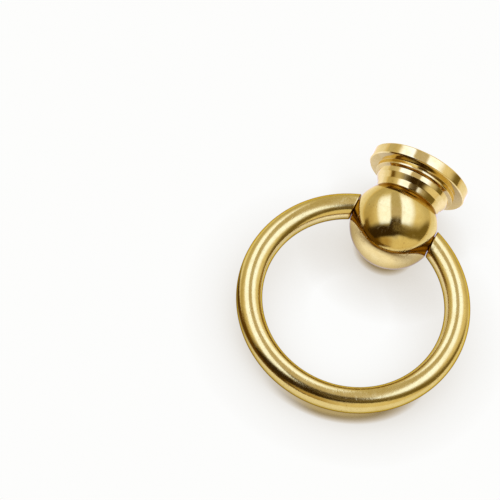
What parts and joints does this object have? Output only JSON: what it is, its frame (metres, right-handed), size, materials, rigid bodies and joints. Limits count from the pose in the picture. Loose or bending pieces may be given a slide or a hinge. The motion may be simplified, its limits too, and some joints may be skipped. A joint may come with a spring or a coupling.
{
  "type": "ring pull handle",
  "caption": "Solid brass ring pull: a round rod ring swinging on a pivot ball, carried by a stepped turned base with a tapped fixing hole, for drawers and cabinet doors.",
  "frame": {"origin": "centre of the mounting face, on the axis of the tapped hole", "axes": "+Z out of the tapped hole, square to the mounting face and away from the ring; X along the ring's hinge; the ring hangs below the ball, drawn 4 degrees from the XZ plane towards -Y, as it lies in the picture"},
  "size_m": [0.045, 0.02, 0.0532],
  "materials": {
    "turned_brass": "bright lathe-turned, unlacquered",
    "satin_brass": "tumble-polished, soft satin shine"
  },
  "bodies": {
    "base_and_ball": {"base": "turned_brass", "pivot_ball": "satin_brass"},
    "swinging_ring": {"ring": "satin_brass"}
  },
  "joints": [
    {"name": "ring_swing", "type": "hinge", "parent": "base_and_ball", "child": "swinging_ring", "pos_m": [0, 0, -0.0125], "axis": [1, 0, 0], "range_deg": [-101, 109]}
  ]
}
